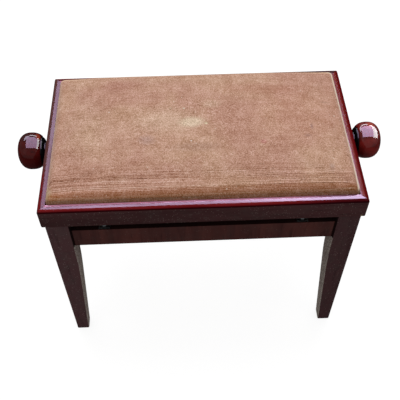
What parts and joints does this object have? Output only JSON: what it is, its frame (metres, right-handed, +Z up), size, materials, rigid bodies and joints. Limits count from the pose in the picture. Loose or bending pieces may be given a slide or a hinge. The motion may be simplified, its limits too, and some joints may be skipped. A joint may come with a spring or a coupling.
{
  "type": "adjustable piano stool",
  "caption": "Rectangular piano stool with four tapered legs, a cord-covered seat and side knobs that raise it on a scissor lift.",
  "frame": {"origin": "on the floor, under the middle of the stool", "axes": "+X from the left knob to the right knob, +Y from the front to the back, +Z up"},
  "size_m": [0.67, 0.33, 0.462],
  "materials": {
    "leg_lacquer": "satin dark mahogany lacquer, dusty",
    "apron_lacquer": "satin dark mahogany lacquer with streaks across the grain",
    "frame_lacquer": "gloss red mahogany lacquer",
    "knob_lacquer": "high gloss red mahogany lacquer",
    "black_lacquer": "gloss black",
    "beech": "planed, unfinished",
    "plywood": "birch-faced plywood, unfinished",
    "foam": "upholstery foam",
    "cord_cloth": "worn needlecord, pinkish tan",
    "nylon": "moulded nylon",
    "strip_steel": "black zinc-plated strip",
    "bright_steel": "bright zinc-plated"
  },
  "bodies": {
    "base": {"front_left_leg": "leg_lacquer", "front_right_leg": "leg_lacquer", "back_left_leg": "leg_lacquer", "back_right_leg": "leg_lacquer", "front_apron": "apron_lacquer", "back_apron": "apron_lacquer", "left_apron": "apron_lacquer", "right_apron": "apron_lacquer", "corner_blocks": "beech", "hanger_bolts": "bright_steel", "bolt_washers": "bright_steel", "leg_nuts": "bright_steel", "foot_glides": "nylon", "lower_front_rail": "strip_steel", "lower_back_rail": "strip_steel", "lower_rail_screws": "strip_steel", "lower_pivot_rod": "bright_steel"},
    "outer_arms": {"outer_arm_front": "strip_steel", "outer_arm_back": "strip_steel", "centre_pivot_rod": "bright_steel", "centre_pivot_clips": "bright_steel"},
    "inner_arms": {"inner_arm_front": "strip_steel", "inner_arm_back": "strip_steel", "lower_slide_rod": "bright_steel", "slide_rollers": "nylon"},
    "nut_bar": {"nut_bar": "bright_steel", "nut_bar_spacers": "bright_steel", "nut_bar_clips": "bright_steel"},
    "seat": {"seat_front_rail": "frame_lacquer", "seat_back_rail": "frame_lacquer", "seat_left_rail": "frame_lacquer", "seat_right_rail": "frame_lacquer", "seat_corner_blocks": "beech", "corner_block_screws": "bright_steel", "seat_board": "plywood", "foam_pad": "foam", "seat_cover": "cord_cloth", "upper_front_rail": "strip_steel", "upper_back_rail": "strip_steel", "upper_rail_screws": "bright_steel", "fixed_cross_bar": "bright_steel", "fixed_bar_clips": "bright_steel", "left_escutcheon": "black_lacquer", "right_escutcheon": "black_lacquer"},
    "spindle": {"spindle": "bright_steel", "left_knob": "knob_lacquer", "right_knob": "knob_lacquer", "left_knob_collar": "black_lacquer", "right_knob_collar": "black_lacquer", "thrust_collars": "strip_steel", "grub_screws": "bright_steel"}
  },
  "joints": [
    {"name": "outer_arm_lift", "type": "hinge", "parent": "base", "child": "outer_arms", "pos_m": [-0.17, 0, 0.345], "axis": [0, -1, 0], "range_deg": [0, 17.6]},
    {"name": "inner_arm_fold", "type": "hinge", "parent": "outer_arms", "child": "inner_arms", "pos_m": [0, 0, 0.375], "axis": [0, -1, 0], "range_deg": [-35.2, 0]},
    {"name": "nut_bar_pivot", "type": "hinge", "parent": "outer_arms", "child": "nut_bar", "pos_m": [0.17, 0, 0.405], "axis": [0, -1, 0], "range_deg": [-17.6, 0]},
    {"name": "seat_lift", "type": "hinge", "parent": "inner_arms", "child": "seat", "pos_m": [-0.17, 0, 0.405], "axis": [0, -1, 0], "range_deg": [0, 17.6]},
    {"name": "spindle_turn", "type": "hinge", "parent": "seat", "child": "spindle", "pos_m": [0, 0, 0.405], "axis": [1, 0, 0], "range_deg": [0, 4087.6]}
  ],
  "couplings": [
    {"joint": "inner_arm_fold", "follows": "outer_arm_lift", "ratio": -2},
    {"joint": "nut_bar_pivot", "follows": "outer_arm_lift", "ratio": -1},
    {"joint": "seat_lift", "follows": "outer_arm_lift", "ratio": 1},
    {"joint": "spindle_turn", "follows": "outer_arm_lift", "ratio": 232.22}
  ]
}
